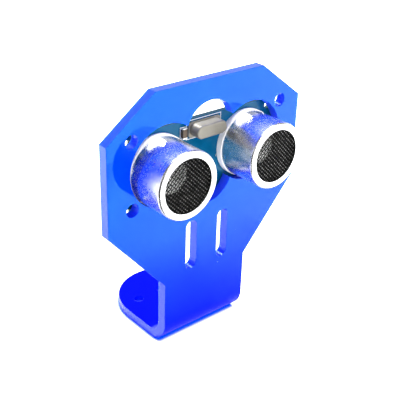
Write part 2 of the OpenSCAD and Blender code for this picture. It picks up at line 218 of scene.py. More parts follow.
def from_can_axis(s):
    """Distance from the nearer can's axis, which runs along Y."""
    mirrored = s.vector("SUBTRACT", s.vector("ABSOLUTE", s.position), (can_mid.x, 0, can_mid.z))
    return s.vector("LENGTH", s.vector("MULTIPLY", mirrored, (1, 0, 1)))


def scratches(s, turn, level):
    """Fine lines about 3 mm long, all at one slant; a higher level gives fewer."""
    rotate = s.add("VectorRotate", {"Vector": s.position, "Rotation": turn}, rotation_type="EULER_XYZ")
    stretched = s.vector("MULTIPLY", rotate.outputs["Vector"], (330, 5200, 5200))
    lines = s.noise(stretched, 1.0, 1.0, 0.5, 0.3)
    return s.remap(lines, level, level + 0.05)


def can_metal():
    """Drawn aluminium with scratches and slight dents, and painted shade on the wall inside the can."""
    wall = 0.2 * MM
    s = Shader("can_aluminium", Metallic=1.0, Anisotropic=0.35, Anisotropic_Rotation=0.25)
    tangent = s.add("Tangent", direction_type="RADIAL", axis="Y").outputs["Tangent"]
    radius = from_can_axis(s)
    behind_lip = s.math("GREATER_THAN", s.vector("DOT_PRODUCT", s.position, (0, 1, 0)), can_lo.y + wall)
    painted_shade_inside = s.math("MULTIPLY", s.math("LESS_THAN", radius, can_r - wall), behind_lip)
    patches = s.noise(s.place((190, 150, 190)), 1.0, 4.0, 0.6)
    grain = s.noise(s.place((5200, 420, 5200)), 1.0, 2.0)
    dents = s.noise(s.place((420, 300, 420)), 1.0, 1.0)
    scratch = s.math("MAXIMUM", scratches(s, (0.4, 0.7, 0.2), 0.655), scratches(s, (-0.6, 0.3, 1.1), 0.67))
    colour = s.mix(s.remap(patches, 0.3, 0.7), rgb(0.84, 0.85, 0.87), rgb(0.93, 0.93, 0.94))
    # painted shade: the can's inner wall is painted near black, as the shade behind the mesh
    colour = s.mix(painted_shade_inside, colour, rgb(0.06, 0.06, 0.055))
    rough = s.remap(patches, 0.3, 0.7, 0.235, 0.295)
    rough = s.math("ADD", rough, s.math("MULTIPLY", scratch, 0.3))
    rough = s.math("ADD", rough, s.math("MULTIPLY", painted_shade_inside, 0.3))
    relief = s.math("ADD", s.math("MULTIPLY", grain, 0.5), s.math("MULTIPLY", dents, 0.3))
    relief = s.math("SUBTRACT", relief, s.math("MULTIPLY", scratch, 0.25))
    normal = s.bump(relief, 0.12, 0.02 * MM)
    return s.set(Base_Color=colour, Roughness=rough, Normal=normal, Tangent=tangent)


def base_plastic():
    """Pale flange outside, and painted shade on the face inside the can."""
    shaded_depth = 0.6 * MM
    s = Shader("base_grey")
    grain = s.noise(s.place((1800, 1800, 1800)), 1.0, 4.0, 0.6)
    cloud = s.noise(s.place((240, 240, 240)), 1.0, 3.0)
    painted_shade_inside = s.math("LESS_THAN", s.vector("DOT_PRODUCT", s.position, (0, 1, 0)), base_inside + shaded_depth)
    colour = s.mix(s.remap(cloud, 0.3, 0.7), rgb(0.90, 0.88, 0.86), rgb(0.97, 0.95, 0.93))
    # painted shade: the base's face inside the can is painted near black
    colour = s.mix(painted_shade_inside, colour, rgb(0.010, 0.010, 0.010))
    normal = s.bump(grain, 0.5, 0.012 * MM, s.soft_edges(0.08 * MM))
    return s.set(Base_Color=colour, Roughness=s.remap(grain, 0.3, 0.7, 0.36, 0.5), Normal=normal)


def wire_black():
    """Blackened wire, worn bright where it stands proudest."""
    s = Shader("mesh_black", Specular_IOR_Level=0.15)
    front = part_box("receiver_mesh")[0].y
    whole, none = 0.015 * MM, 0.05 * MM
    tone = s.noise(s.place((2200, 2200, 2200)), 1.0, 2.0)
    depth = s.math("SUBTRACT", s.vector("DOT_PRODUCT", s.position, (0, 1, 0)), front)
    worn = s.math("MULTIPLY", s.remap(depth, none, whole), s.remap(tone, 0.4, 0.6, 0.1, 1.0))
    colour = s.mix(worn, rgb(0.002, 0.002, 0.002), rgb(0.80, 0.80, 0.78))
    return s.set(Base_Color=colour, Roughness=s.remap(tone, 0.3, 0.7, 0.3, 0.45), Metallic=worn)


def plastic(name, dark, light, rough, scale=1800, depth=0.012, edge=0.05, gloss=0.5):
    """Moulded plastic, rubber or ceramic with a fine grain; depth and edge are in mm."""
    s = Shader(name, Specular_IOR_Level=gloss)
    grain = s.noise(s.place((scale,) * 3), 1.0, 4.0, 0.6)
    cloud = s.noise(s.place((240, 240, 240)), 1.0, 3.0)
    colour = s.mix(s.remap(cloud, 0.3, 0.7), dark, light)
    low, high = rough
    normal = s.bump(grain, 0.5, depth * MM, s.soft_edges(edge * MM) if edge else None)
    return s.set(Base_Color=colour, Roughness=s.remap(grain, 0.3, 0.7, low, high), Normal=normal)


def metal(name, dark, light, rough, stretch=(2500, 2500, 2500), depth=0.006, edge=0.0, bright=1.0):
    """Worked metal; bright is the share that mirrors, and depth and edge are in mm."""
    s = Shader(name, Metallic=bright)
    grain = s.noise(s.place(stretch), 1.0, 3.0, 0.6)
    cloud = s.noise(s.place((500, 500, 500)), 1.0, 3.0)
    colour = s.mix(s.remap(cloud, 0.3, 0.7), dark, light)
    low, high = rough
    normal = s.bump(grain, 0.4, depth * MM, s.soft_edges(edge * MM) if edge else None)
    return s.set(Base_Color=colour, Roughness=s.remap(cloud, 0.3, 0.7, low, high), Normal=normal)


def board_mask():
    """Glossy solder mask on the faces, bare laminate on the rim."""
    s = Shader("board_mask", Specular_IOR_Level=0.26, Specular_Tint=rgb(0.30, 0.85, 1.0))
    # how far a surface faces along the board, as its cut rim does
    rim = s.remap(s.math("ABSOLUTE", s.vector("DOT_PRODUCT", s.normal, (0.0, 1.0, 0.0))), 0.7, 0.4)
    weave = s.add("TexWave", {"Vector": s.place((1, 1, 1)), "Scale": 900.0, "Distortion": 0.6})
    weave = weave.outputs["Fac"]
    cloud = s.noise(s.place((300, 300, 300)), 1.0, 3.0)
    mask = s.mix(s.remap(cloud, 0.3, 0.7), rgb(0.0, 0.070, 0.165), rgb(0.001, 0.090, 0.205))
    laminate = s.mix(weave, rgb(0.006, 0.035, 0.06), rgb(0.012, 0.05, 0.08))
    colour = s.mix(rim, mask, laminate)
    rough = s.math("ADD", s.remap(cloud, 0.3, 0.7, 0.10, 0.18), s.math("MULTIPLY", rim, 0.35))
    normal = s.bump(s.math("ADD", s.math("MULTIPLY", weave, 0.3), cloud), 0.25, 0.01 * MM)
    return s.set(Base_Color=colour, Roughness=rough, Normal=normal)


MATERIALS = {
    "acrylic": acrylic(),
    "board": board_mask(),
    "can_aluminium": can_metal(),
    "mesh_black": wire_black(),
    "base_grey": base_plastic(),
    "silicone": plastic("silicone", rgb(0.70, 0.70, 0.68), rgb(0.80, 0.80, 0.78), (0.5, 0.65)),
    "diaphragm_brass": metal("diaphragm_brass", rgb(0.62, 0.42, 0.14), rgb(0.78, 0.58, 0.26), (0.25, 0.4)),
    "ceramic": plastic("ceramic", rgb(0.70, 0.66, 0.54), rgb(0.82, 0.78, 0.68), (0.5, 0.65)),
    "horn_aluminium": metal("horn_aluminium", rgb(0.93, 0.93, 0.92), rgb(0.97, 0.97, 0.96), (0.42, 0.55),
                            bright=0.6),
    "copper_wire": metal("copper_wire", rgb(0.62, 0.22, 0.08), rgb(0.80, 0.36, 0.18), (0.25, 0.35)),
    "tinned_wire": metal("tinned_wire", rgb(0.62, 0.62, 0.60), rgb(0.80, 0.80, 0.79), (0.24, 0.42),
                         edge=0.04),
    "crystal_metal": metal("crystal_metal", rgb(0.27, 0.255, 0.215), rgb(0.32, 0.305, 0.26), (0.46, 0.56),
                           stretch=(700, 6000, 6000), bright=0.7),
    "black_plastic": plastic("black_plastic", rgb(0.008, 0.008, 0.009), rgb(0.018, 0.018, 0.020),
                             (0.36, 0.5), gloss=0.25),
    "gold_pins": metal("gold_pins", rgb(0.72, 0.50, 0.18), rgb(0.88, 0.68, 0.34), (0.2, 0.34), edge=0.05),
    "chip_black": plastic("chip_black", rgb(0.008, 0.008, 0.009), rgb(0.018, 0.018, 0.020), (0.46, 0.62),
                          scale=4200, depth=0.02, gloss=0.25),
    "resistor_black": plastic("resistor_black", rgb(0.010, 0.010, 0.012), rgb(0.024, 0.024, 0.03),
                              (0.22, 0.34)),
    "capacitor_tan": plastic("capacitor_tan", rgb(0.07, 0.045, 0.026), rgb(0.12, 0.08, 0.045), (0.4, 0.55)),
    "solder": metal("solder", rgb(0.66, 0.66, 0.66), rgb(0.86, 0.86, 0.86), (0.16, 0.34),
                    stretch=(1500, 1500, 1500), depth=0.02),
}
SILK = plastic("silk_white", rgb(0.74, 0.76, 0.76), rgb(0.84, 0.85, 0.85), (0.45, 0.6), edge=0)


def trace_mask():
    """Solder mask over copper, lighter than over the laminate."""
    s = Shader("trace_mask", Specular_IOR_Level=0.26, Specular_Tint=rgb(0.30, 0.85, 1.0))
    cloud = s.remap(s.noise(s.place((900, 900, 900)), 1.0, 3.0), 0.3, 0.7)
    colour = s.mix(cloud, rgb(0.002, 0.100, 0.23), rgb(0.003, 0.125, 0.27))
    return s.set(Base_Color=colour, Roughness=s.remap(cloud, 0.0, 1.0, 0.1, 0.18))


TRACE = trace_mask()

for part in frame["record"]["subparts"]:
    mesh = NODES[part["node"]].data
    mesh.materials.clear()
    mesh.materials.append(MATERIALS[part["material_slot"]])


# ---- mesh helpers -----------------------------------------------------------

def piece(name, verts, faces, slot, material=None, smooth=True, replaces=()):
    """An object of the part from plain vertices and faces."""
    mesh = bpy.data.meshes.new(name)
    mesh.from_pydata([tuple(v) for v in verts], [], faces)
    shell = bmesh.new()
    shell.from_mesh(mesh)
    bmesh.ops.recalc_face_normals(shell, faces=shell.faces)
    shell.to_mesh(mesh)
    shell.free()
    mesh.materials.append(material or MATERIALS[slot])
    mesh.polygons.foreach_set("use_smooth", [smooth] * len(mesh.polygons))
    obj = bpy.data.objects.new(name, mesh)
    scene.collection.objects.link(obj)
    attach(obj, "root")
    if replaces:
        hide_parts(*replaces)
    return obj


def rings_to_faces(start, rings, count):
    """Quads between neighbouring closed rings of vertices."""
    faces = []
    for r in range(rings - 1):
        for i in range(count):
            j = (i + 1) % count
            a, b = start + r * count, start + (r + 1) * count
            faces.append((a + i, a + j, b + j, b + i))
    return faces


def tube(verts, faces, path, wide, thin, sides):
    """An oval wire along a path that stays near one plane."""
    start = len(verts)
    for k, point in enumerate(path):
        ahead = path[min(k + 1, len(path) - 1)] - path[max(k - 1, 0)]
        ahead.normalize()
        side = ahead.cross(Vector((0, 1, 0))).normalized()
        up = side.cross(ahead)
        for i in range(sides):
            a = 2 * math.pi * i / sides
            verts.append(point + wide * math.cos(a) * side + thin * math.sin(a) * up)
    faces.extend(rings_to_faces(start, len(path), sides))
    last = start + (len(path) - 1) * sides
    faces.append(tuple(start + i for i in range(sides))[::-1])
    faces.append(tuple(last + i for i in range(sides)))


# ---- woven wire mesh in the mouth of each can --------------------------------

PITCH = 0.7 * MM  # as in the CAD


def woven_mesh(side):
    """Two families of crimped wires, each over and under the other, slanted at 45 degrees."""
    lo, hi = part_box(side + "_mesh")
    mid = (lo + hi) / 2
    reach = (hi.x - lo.x) / 2 - 0.05 * MM
    # a wire's radius and its wave's height: two wires crossing fill the CAD mesh's thickness
    wire = (hi.y - lo.y) / 4
    thin = 0.97 * wire
    steps, sides = 4, 6
    verts, faces = [], []
    for turn, sign in ((math.radians(45), 1), (math.radians(135), -1)):
        along = Vector((math.cos(turn), 0, math.sin(turn)))
        over = Vector((-math.sin(turn), 0, math.cos(turn)))
        n = int(reach / PITCH)
        for k in range(-n, n + 1):
            half = math.sqrt(max(reach ** 2 - (k * PITCH) ** 2, 0))
            m = int(half / PITCH * steps)
            if m < steps:
                continue
            wander = rng.uniform(-0.03, 0.03) * PITCH
            path = []
            for j in range(-m, m + 1):
                s = j * PITCH / steps
                lift = sign * wire * math.cos(math.pi * (j / steps + k))
                path.append(mid + along * s + over * (k * PITCH + wander) + Vector((0, lift, 0)))
            tube(verts, faces, path, wire, thin, sides)
    piece(side + "_wire_mesh", verts, faces, "mesh_black", replaces=[side + "_mesh"])


for name in SIDES:
    woven_mesh(name)


# ---- crystal can with rolled edges --------------------------------------------

def stadium(half_straight, radius, count):
    """Points round a stadium lying along X, as (x, z)."""
    points = []
    for i in range(count):
        a = 2 * math.pi * i / count
        x = math.cos(a) * radius
        x += half_straight if math.cos(a) > 0 else -half_straight
        points.append((x, math.sin(a) * radius))
    return points


def crystal():
    """The crystal's can, with its front edge rolled over."""
    lo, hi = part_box("crystal_can")
    mid = (lo + hi) / 2
    radius = (hi.z - lo.z) / 2
    half = (hi.x - lo.x) / 2 - radius
    roll, steps, count = 0.38 * MM, 8, 72
    # (inset, y) of each ring, from the back edge to the slightly hollow front
    levels = [(0.0, hi.y), (0.0, hi.y - 0.1 * MM), (0.0, lo.y + roll * 1.25)]
    for i in range(steps + 1):
        a = math.pi / 2 * i / steps
        levels.append((roll * (1 - math.cos(a)), lo.y + roll * (1 - math.sin(a))))
    levels += [(roll + 0.1 * MM, lo.y), (radius * 0.75, lo.y + 0.01 * MM)]
    verts = []
    for inset, y in levels:
        verts += [Vector((mid.x + x, y, mid.z + z)) for x, z in stadium(half, radius - inset, count)]
    faces = rings_to_faces(0, len(levels), count)
    faces.append(tuple(range(len(verts) - count, len(verts))))
    piece("crystal_can_shell", verts, faces, "crystal_metal", replaces=["crystal_can"])


crystal()


# ---- solids laid on the board ---------------------------------------------------

def turned(verts, faces, x, z, profile, count=28):
    """A solid turned about an axis along Y, from a profile of (radius, y) points, with flat ends."""
    start = len(verts)
    for r, y in profile:
        for i in range(count):
            a = 2 * math.pi * i / count
            verts.append(Vector((x + r * math.cos(a), y, z + r * math.sin(a))))
    faces.extend(rings_to_faces(start, len(profile), count))
    last = start + (len(profile) - 1) * count
    faces.append(tuple(start + i for i in range(count))[::-1])
    faces.append(tuple(last + i for i in range(count)))


def flat_ring(verts, faces, x, z, inner, outer, y0, y1, count=28):
    """A washer between two heights over the board."""
    start = len(verts)
    for r, y in ((outer, y0), (outer, y1), (inner, y1), (inner, y0), (outer, y0)):
        for i in range(count):
            a = 2 * math.pi * i / count
            verts.append(Vector((x + r * math.cos(a), y, z + r * math.sin(a))))
    faces.extend(rings_to_faces(start, 5, count))


def strip(verts, faces, points, width, y0, y1, closed=False):
    """A flat band of one width along (x, z) points, mitred at its corners."""
    start, n = len(verts), len(points)
    flat = [Vector(p) for p in points]
    for i in range(n):
        steps = []
        if i > 0 or closed:
            steps.append((flat[i] - flat[i - 1]).normalized())
        if i < n - 1 or closed:
            steps.append((flat[(i + 1) % n] - flat[i]).normalized())
        normals = [Vector((-d.y, d.x)) for d in steps]
        mitre = sum(normals, Vector((0, 0))).normalized()
        mitre *= width / 2 / max(mitre.dot(normals[0]), 0.4)
        for side, y in ((1, y0), (1, y1), (-1, y1), (-1, y0)):
            p = flat[i] + side * mitre
            verts.append(Vector((p.x, y, p.y)))
    for i in range(n if closed else n - 1):
        a, b = start + 4 * i, start + 4 * ((i + 1) % n)
        for k in range(4):
            j = (k + 1) % 4
            faces.append((a + k, a + j, b + j, b + k))
    if not closed:
        last = start + 4 * (n - 1)
        faces.append(tuple(start + k for k in range(4)))
        faces.append(tuple(last + k for k in range(4))[::-1])


def arc(x, z, r, start, end, steps):
    """Points (x, z) of an arc, in degrees."""
    angles = [math.radians(start + (end - start) * k / steps) for k in range(steps + 1)]
    return [(x + r * math.cos(a), z + r * math.sin(a)) for a in angles]


def rounded_pad(verts, faces, x0, z0, x1, z1, r, y0, y1):
    """A flat pad with rounded corners, from (x0, z0) to (x1, z1)."""
    outline = []
    corners = ((x1 - r, z1 - r, 0), (x0 + r, z1 - r, 90), (x0 + r, z0 + r, 180), (x1 - r, z0 + r, 270))
    for x, z, turn in corners:
        outline += arc(x, z, r, turn, turn + 90, 3)
    start, n = len(verts), len(outline)
    verts += [Vector((x, y, z)) for y in (y0, y1) for x, z in outline]
    faces.append(tuple(range(start, start + n))[::-1])
    faces.append(tuple(range(start + n, start + 2 * n)))
    faces.extend(rings_to_faces(start, 2, n))


def solids_of(node):
    """Lowest and highest corner of each separate solid in a CAD node."""
    mesh = NODES[node].data
    parent = {}

    def root(key):
        while parent.setdefault(key, key) != key:
            key = parent[key]
        return key

    keys = [tuple(round(c * 1e6) for c in v.co) for v in mesh.vertices]
    for face in mesh.polygons:
        first = root(keys[face.vertices[0]])
        for i in face.vertices[1:]:
            parent[root(keys[i])] = first
    groups = {}
    for v, key in zip(mesh.vertices, keys):
        groups.setdefault(root(key), []).append(v.co)
    boxes = []
    for members in groups.values():
        lo = Vector([min(v[k] for v in members) for k in range(3)])
        hi = Vector([max(v[k] for v in members) for k in range(3)])
        boxes.append((lo, hi))
    return sorted(boxes, key=lambda box: tuple(box[0]))


# ---- solder and pads -------------------------------------------------------------

PAD_T = 0.04 * MM
pads, solder = ([], []), ([], [])


def meniscus(x, z, foot, pin, height, y, out):
    """Solder drawn up a pin: wide on its pad, hollow-sided, closed round the pin."""
    rim, steps, hollow = 0.05 * MM, 8, 2.3
    lift = height * rng.uniform(0.88, 1.0)
    profile = [(foot, y)]
    for k in range(steps + 1):
        t = k / steps
        r = pin + (foot - pin) * (1 - t) ** hollow
        profile.append((r, y + out * (rim + (lift - rim) * t)))
    profile.append((pin * 0.7, y + out * (lift + 0.03 * MM)))
    turned(*solder, x, z, profile)


def fillet(foot, out, across, up, length, height, width):
    """A hollow wedge of solder; foot is the middle of its inner edge, on the pad."""
    verts, faces = solder
    start = len(verts)
    steps = 6
    profile = [(0.0, 0.0)]
    for k in range(steps + 1):
        a = math.pi / 2 * k / steps
        profile.append((length * (1 - math.cos(a)), height * (1 - math.sin(a)) + 0.01 * MM))
    profile.append((length, 0.0))
    for side in (-1, 1):
        for o, h in profile:
            spread = width / 2 * (1 + 0.12 * o / length)
            verts.append(foot + out * o + across * side * spread + up * h)
    n = len(profile)
    faces.append(tuple(range(start, start + n)))
    faces.append(tuple(range(start + n, start + 2 * n))[::-1])
    faces.extend(rings_to_faces(start, 2, n))


def solder_foot(lo, hi, out, face, up, toe, height, margin):
    """The pad and fillet of one end cap or lead, which points out along the board."""
    corner_r = 0.08 * MM
    across = Vector((0, 1, 0)).cross(out)
    mid = (lo + hi) / 2
    half = Vector(((hi.x - lo.x) / 2, 0, (hi.z - lo.z) / 2))
    reach = abs(half.dot(out))
    width = 2 * abs(half.dot(across))
    tip = Vector((mid.x, face, mid.z)) + out * reach
    corners = [tip + out * (toe + margin) + across * (width / 2 + margin),
               tip - out * (2 * reach + margin) - across * (width / 2 + margin)]
    xs, zs = sorted(c.x for c in corners), sorted(c.z for c in corners)
    rounded_pad(*pads, xs[0], zs[0], xs[1], zs[1], corner_r, face, face + up.y * PAD_T)
    fillet(tip + up * PAD_T, out, across, up, toe, height, width * 0.94)


def nearest_axis(v):
    """The way along X or Z that a vector points most."""
    if abs(v.x) > abs(v.z):
        return Vector((math.copysign(1, v.x), 0, 0))
    return Vector((0, 0, math.copysign(1, v.z)))


def solder_end_caps(node):
    """Solder for small parts, whose two caps face away from each other."""
    toe, margin, climb = 0.28 * MM, 0.07 * MM, 0.7
    boxes = solids_of(node)
    mids = [(lo + hi) / 2 for lo, hi in boxes]
    for i, (lo, hi) in enumerate(boxes):
        partner = min((m for j, m in enumerate(mids) if j != i), key=lambda m: (m - mids[i]).length)
        on_back = mids[i].y > board_mid.y
        face, up = (BACK, Vector((0, 1, 0))) if on_back else (FRONT, Vector((0, -1, 0)))
        solder_foot(lo, hi, nearest_axis(mids[i] - partner), face, up, toe, climb * (hi.y - lo.y), margin)


def solder_leads(node, body):
    """Solder for the leads on opposite sides of a body on the board's back."""
    toe, height, margin = 0.3 * MM, 0.15 * MM, 0.08 * MM
    up = Vector((0, 1, 0))
    body_lo, body_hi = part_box(body)
    for lo, hi in solids_of(node):
        mid = (lo + hi) / 2
        sideways = max(mid.x - body_hi.x, body_lo.x - mid.x)
        if sideways > max(mid.z - body_hi.z, body_lo.z - mid.z):
            out = Vector((math.copysign(1, mid.x - centre(body).x), 0, 0))
        else:
            out = Vector((0, 0, math.copysign(1, mid.z - centre(body).z)))
        flat = abs((hi - lo).dot(out)) * 0.5
        shift = out * flat / 2
        shrink = Vector((abs(out.x), 0, abs(out.z))) * flat / 2
        solder_foot(lo + shift + shrink, hi + shift - shrink, out, BACK, up, toe, height, margin)


for node in ("resistor_caps", "capacitor_caps"):
    solder_end_caps(node)
CHIPS = ("microcontroller", "amplifier", "line_driver")
for body in CHIPS + ("transistor",):
    solder_leads(body + "_leads", body)
for lo, hi in solids_of("solder_joints"):
    mid = (lo + hi) / 2
    on_back = mid.y > board_mid.y
    near, far = (lo.y, hi.y) if on_back else (hi.y, lo.y)
    foot = (hi.x - lo.x) / 2
    pin = min(0.5 * MM, foot * 0.52)
    out = 1 if on_back else -1
    meniscus(mid.x, mid.z, foot * 0.93, pin, abs(far - near), near, out)
    flat_ring(*pads, mid.x, mid.z, pin, foot, near, near + out * PAD_T)

piece("solder_fillets", *solder, "solder", replaces=["solder_joints"])
piece("tinned_pads", *pads, "solder", smooth=False)


# ---- board: traces, vias and printed outlines --------------------------------------

TRACE_T = 0.025 * MM
INK_T = 0.02 * MM
VIA_HOLE, VIA_RING = 0.18 * MM, 0.36 * MM


def level_route(a, b, turn):
    """Level from a, then at 45 degrees, then level to b; turn places the slant."""
    (x0, z0), (x1, z1) = a, b
    way = math.copysign(1, x1 - x0)
    slant = min(abs(z1 - z0), abs(x1 - x0))
    bend = x0 + way * turn * (abs(x1 - x0) - slant)
    return [(x0, z0), (bend, z0), (bend + way * slant, z1), (x1, z1)]


def rows_of(node, side):
    """Outer ends (x, z) of the leads on one side of a chip, from the bottom up."""
    mid = centre(node)
    ends = []
    for lo, hi in solids_of(node):
        if (lo.x + hi.x) / 2 * side > mid.x * side:
            ends.append((hi.x if side > 0 else lo.x, (lo.z + hi.z) / 2))
    return sorted(ends, key=lambda end: end[1])


def header_joints(joints):
    """Middles (x, z) of the header's joints, which are the ones on the board's front."""
    return sorted((m.x, m.z) for m in joints if m.y < board_mid.y)


def board_traces(joints):
    """Made-up traces and vias between the real ends of leads and joints."""
    traces, vias = ([], []), ([], [])
    back, front = (BACK, BACK + TRACE_T), (FRONT, FRONT - TRACE_T)
    wide, fine, supply = 0.4 * MM, 0.22 * MM, 0.7 * MM
    pin_run = 1.2 * MM

    # buses between neighbouring chips, with staggered slants
    for left, right in (("line_driver", "microcontroller"), ("microcontroller", "amplifier")):
        starts = rows_of(left + "_leads", 1)
        ends = rows_of(right + "_leads", -1)
        for k in range(1, 7):
            strip(*traces, level_route(starts[k], ends[k], 0.12 + 0.11 * k), fine, *back)
    # from each sensor's pins to its own chip's outer leads
    sensor_pins = [m for m in joints if m.y > board_mid.y]
    for chip, side in (("line_driver", -1), ("amplifier", 1)):
        outer = rows_of(chip + "_leads", side)
        for k, drop in ((1, -1), (len(outer) - 2, 1)):
            x, z = outer[k]
            pin = min(sensor_pins, key=lambda m: abs(m.x - x) + abs(m.z - z))
            route = [(x, z), (x + side * pin_run, z), (pin.x, pin.z + drop * pin_run), (pin.x, pin.z)]
            strip(*traces, route, wide, *back)
    # supply and signals up from the header, on both faces
    for k, (x, z) in enumerate(header_joints(joints)):
        side = -1 if k < 2 else 1
        rise = (2.2 + 0.7 * (k % 3)) * MM
        run = side * (3.2 + 0.9 * k) * MM
        strip(*traces, [(x, z), (x, z + rise), (x + run / 2, z + rise + abs(run / 2))], fine, *back)
        via_x, via_z = x + side * 1.1 * MM, z + (4.2 + 0.5 * k) * MM
        strip(*traces, [(x, z), (x, z + 1.4 * MM), (via_x, z + 2.5 * MM), (via_x, via_z)], fine, *front)
        for y0, y1 in (back, front):
            flat_ring(*vias, via_x, via_z, VIA_HOLE, VIA_RING, y0, y1, 20)
    # wide supply lines along the two long edges, each with a row of vias
    reach, inset, count = 18.5 * MM, 0.9 * MM, 7
    for z in (board_lo.z + inset, board_hi.z - inset):
        strip(*traces, [(-reach, z), (reach, z)], supply, *back)
        for k in range(count):
            x = -reach + (k + 0.5) * reach * 2 / count
            flat_ring(*vias, x, z, VIA_HOLE, VIA_RING, BACK, BACK + 2 * TRACE_T, 20)

    piece("board_traces", *traces, "board", TRACE, smooth=False)
    piece("board_vias", *vias, "solder", smooth=False)


def board_outlines(joints):
    """Printed lines round the parts, with no lettering."""
    ink = ([], [])
    line, gap = 0.16 * MM, 0.35 * MM
    on_back, on_front = (BACK, BACK + INK_T), (FRONT, FRONT - INK_T)
    # a closed line round the crystal
    lo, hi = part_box("crystal_base")
    outline = [(lo.x - gap, lo.z - gap), (hi.x + gap, lo.z - gap),
               (hi.x + gap, hi.z + gap), (lo.x - gap, hi.z + gap)]
    strip(*ink, outline, line, *on_front, closed=True)
    # a bar at each end of a chip and a dot by its first lead
    dot_r = 0.22 * MM
    for body in CHIPS:
        lo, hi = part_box(body)
        for z in (lo.z - 0.4 * MM, hi.z + 0.4 * MM):
            strip(*ink, [(lo.x, z), (hi.x, z)], line, *on_back)
        turned(*ink, hi.x + 1.2 * MM, hi.z + 0.3 * MM, [(dot_r, y) for y in on_back], 18)
    # two bars beside every small part
    beside, longer = 0.25 * MM, 0.1 * MM
    for node in ("resistors", "capacitors"):
        for lo, hi in solids_of(node):
            mid = (lo + hi) / 2
            level = hi.x - lo.x > hi.z - lo.z
            face = on_back if mid.y > board_mid.y else on_front
            for end in (-1, 1):
                if level:
                    z = mid.z + end * ((hi.z - lo.z) / 2 + beside)
                    bar = [(lo.x - longer, z), (hi.x + longer, z)]
                else:
                    x = mid.x + end * ((hi.x - lo.x) / 2 + beside)
                    bar = [(x, lo.z - longer), (x, hi.z + longer)]
                strip(*ink, bar, line * 0.8, *face)
    # a frame round the header
    lo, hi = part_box("header_strip")
    top = header_joints(joints)[0][1] + 1.3 * MM
    outline = [(lo.x - gap, board_lo.z + line), (hi.x + gap, board_lo.z + line),
               (hi.x + gap, top), (lo.x - gap, top)]
    strip(*ink, outline, line, *on_back, closed=True)
    # a circle round each corner hole
    inset = 1.8 * MM
    for x in (board_lo.x + inset, board_hi.x - inset):
        for z in (board_lo.z + inset, board_hi.z - inset):
            flat_ring(*ink, x, z, 1.2 * MM, 1.35 * MM, *on_back)

    piece("board_outlines", *ink, "board", SILK, smooth=False)


joint_mids = [(lo + hi) / 2 for lo, hi in solids_of("solder_joints")]
board_traces(joint_mids)
board_outlines(joint_mids)


# ---- camera -----------------------------------------------------------------

def aim_camera():
    """The camera at the photo's angle."""
    target = Vector((-2.497 * MM, plate_lo.y, 37.205 * MM))
    azimuth, elevation, roll = (math.radians(d) for d in (-41.10, 27.23, 1.834))
    distance = 180.82 * MM
    cam = bpy.data.cameras.new("camera")
    cam.lens = 70.51
    cam.sensor_width = 36.0
    cam.clip_start = 0.01
    cam.clip_end = 20
    obj = bpy.data.objects.new("camera", cam)
    scene.collection.objects.link(obj)
    away = Vector((math.sin(azimuth) * math.cos(elevation), -math.cos(azimuth) * math.cos(elevation),
                   math.sin(elevation)))
    look = (-away).to_track_quat("-Z", "Y").to_matrix().to_4x4()
    obj.matrix_world = Matrix.Translation(target + away * distance) @ look @ Matrix.Rotation(roll, 4, "Z")
    scene.camera = obj


aim_camera()


# ---- floor and cards ----------------------------------------------------------

def floor():
    """A glowing table: painted shade dims its glow round the object and where it is closed in, and painted
    blue light lies beside the foot as if lit through the sheet.
    """
    half, drop, beside_foot = 30.0, 0.02 * MM, 1.3 * MM
    mesh = bpy.data.meshes.new("floor")
    corners = [(-half, -half, 0), (half, -half, 0), (half, half, 0), (-half, half, 0)]
    mesh.from_pydata(corners, [], [(0, 1, 2, 3)])
    s = Shader("floor", Specular_IOR_Level=0.5)
    reach = s.vector("LENGTH", s.vector("MULTIPLY", s.position, (1, 1, 0)))
    open_sky = s.add("AmbientOcclusion", {"Distance": beside_foot}, samples=12).outputs["AO"]
    # painted shade: the floor's own glow is made dimmer near the object and where it is closed in
    painted_glow = s.math("MULTIPLY", s.remap(reach, 50 * MM, 130 * MM, 0.8, 1.5),
                  s.remap(open_sky, 0.35, 0.9, 0.5, 1.0))
    cloud = s.noise(s.place((12, 12, 12)), 1.0, 2.0)
    paper = s.mix(cloud, rgb(0.90, 0.90, 0.90), rgb(0.93, 0.93, 0.93))
    # painted light: blue in the floor's colour and glow beside the foot, as if lit through the sheet
    beside = s.remap(open_sky, 0.5, 0.92)
    s.set(Base_Color=s.mix(beside, rgb(0.0, 0.10, 0.93), paper),
          Roughness=s.remap(cloud, 0.3, 0.7, 0.25, 0.3),
          Emission_Color=s.mix(beside, rgb(0.0, 0.10, 1.0), rgb(1, 1, 1)), Emission_Strength=painted_glow)
    mesh.materials.append(s.mat)
    obj = bpy.data.objects.new("floor", mesh)
    obj.location.z = plate_lo.z - drop
    scene.collection.objects.link(obj)


def flag(name, corners, cover):
    """A black card that only reflections see, painting shade into what they show; cover makes its opacity,
    so that its edges are soft.
    """
    mesh = bpy.data.meshes.new(name)
    mesh.from_pydata(corners, [], [(0, 1, 2, 3)])
    s = Shader(name, Base_Color=rgb(0.01, 0.01, 0.01), Roughness=1.0, Specular_IOR_Level=0.0)
    mesh.materials.append(s.set(Alpha=cover(s)))
    obj = bpy.data.objects.new(name, mesh)
    obj.visible_camera = False
    obj.visible_diffuse = False
    obj.visible_shadow = False
    scene.collection.objects.link(obj)


def fade(s, direction, start, end, most=1.0):
    """A card's cover, from nothing at start to the most at end along a direction."""
    return s.remap(s.vector("DOT_PRODUCT", s.position, direction), start, end, 0.0, most)


